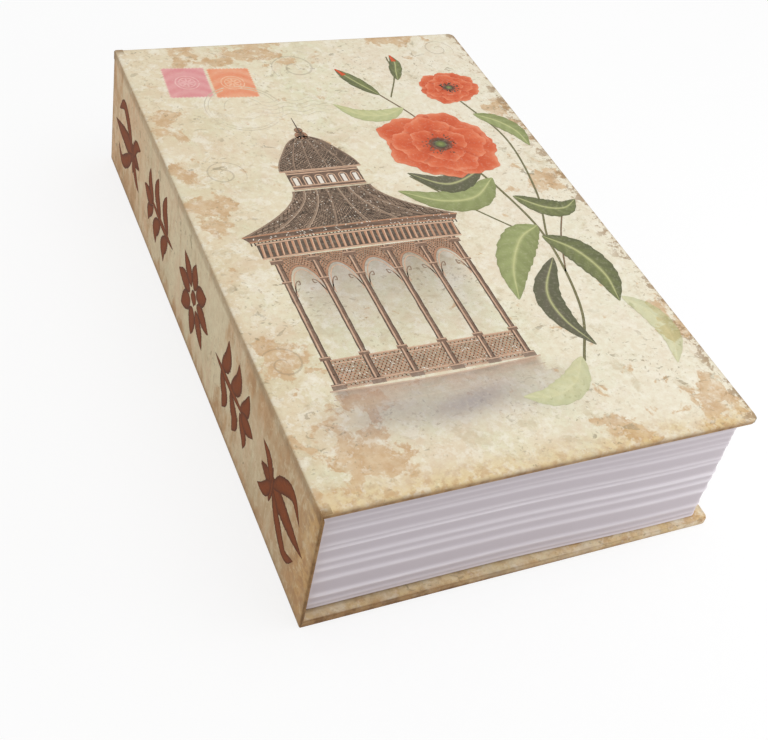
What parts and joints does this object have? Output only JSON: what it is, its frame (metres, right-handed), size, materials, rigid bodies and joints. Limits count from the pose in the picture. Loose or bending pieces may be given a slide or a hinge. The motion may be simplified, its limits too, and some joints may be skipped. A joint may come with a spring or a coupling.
{
  "type": "book diversion safe",
  "caption": "Thick hardback book whose page block hides a steel box, with a hinged steel door, number-wheel lock and turning knob.",
  "frame": {"origin": "centre of the back cover's outer face, on which the closed book lies", "axes": "+X from the spine to the fore-edge, +Y from the tail to the head of the book, +Z from the back cover to the front cover"},
  "size_m": [0.15, 0.24, 0.052],
  "materials": {
    "printed_paper": "matt printed paper, aged parchment colours",
    "grey_board": "raw grey board",
    "lining_paper": "plain off-white paper",
    "page_plastic": "moulded white plastic with page ridges",
    "black_paint": "gloss black powder coat",
    "black_plastic": "satin moulded plastic",
    "plain_steel": "zinc-plated steel"
  },
  "bodies": {
    "case": {"spine_paper": "printed_paper", "spine_board": "grey_board", "back_cover_paper": "printed_paper", "back_cover_board": "grey_board", "back_cover_lining": "lining_paper", "page_block": "page_plastic", "steel_box": "black_paint", "latch_ledge": "black_paint", "hinge_pin_head": "plain_steel", "hinge_pin_tail": "plain_steel"},
    "cover": {"front_cover_paper": "printed_paper", "front_cover_board": "grey_board", "front_cover_lining": "lining_paper"},
    "door": {"door": "black_paint", "lock_plate": "black_plastic", "lock_housing": "black_plastic", "lock_screw_1": "plain_steel", "lock_screw_2": "plain_steel", "lock_screw_3": "plain_steel", "wheel_axle": "plain_steel", "detent_spring": "plain_steel"},
    "wheel_1": {"number_wheel_1": "black_plastic", "code_disc_1": "plain_steel"},
    "wheel_2": {"number_wheel_2": "black_plastic", "code_disc_2": "plain_steel"},
    "wheel_3": {"number_wheel_3": "black_plastic", "code_disc_3": "plain_steel"},
    "fence": {"fence_bar": "plain_steel"},
    "knob": {"knob": "black_plastic", "knob_spindle": "plain_steel", "latch_arm": "plain_steel", "spindle_nut": "plain_steel"},
    "slider": {"reset_slider": "black_plastic"}
  },
  "joints": [
    {"name": "cover_hinge", "type": "hinge", "parent": "case", "child": "cover", "pos_m": [-0.0747, 0, 0.052], "axis": [0, -1, 0], "range_deg": [0, 180]},
    {"name": "door_hinge", "type": "hinge", "parent": "case", "child": "door", "pos_m": [-0.0606, 0, 0.037], "axis": [0, -1, 0], "range_deg": [0, 95]},
    {"name": "knob_turn", "type": "hinge", "parent": "door", "child": "knob", "pos_m": [0.04105, 0.002, 0.0457], "axis": [0, 0, -1], "range_deg": [0, 90]},
    {"name": "fence_slide", "type": "slide", "parent": "door", "child": "fence", "axis": [1, 0, 0], "range_m": [0, 0.0016]},
    {"name": "wheel_1_turn", "type": "hinge", "parent": "door", "child": "wheel_1", "pos_m": [0.03665, -0.0225, 0.0379], "axis": [0, 1, 0], "continuous": true},
    {"name": "wheel_2_turn", "type": "hinge", "parent": "door", "child": "wheel_2", "pos_m": [0.03665, -0.0315, 0.0379], "axis": [0, 1, 0], "continuous": true},
    {"name": "wheel_3_turn", "type": "hinge", "parent": "door", "child": "wheel_3", "pos_m": [0.03665, -0.0405, 0.0379], "axis": [0, 1, 0], "continuous": true},
    {"name": "reset_slide", "type": "slide", "parent": "door", "child": "slider", "axis": [0, 1, 0], "range_m": [0, 0.005]}
  ],
  "couplings": [
    {"joint": "door_hinge", "follows": "cover_hinge", "ratio": 0.5277},
    {"joint": "knob_turn", "follows": "fence_slide", "rad_per_m": 981.7}
  ]
}
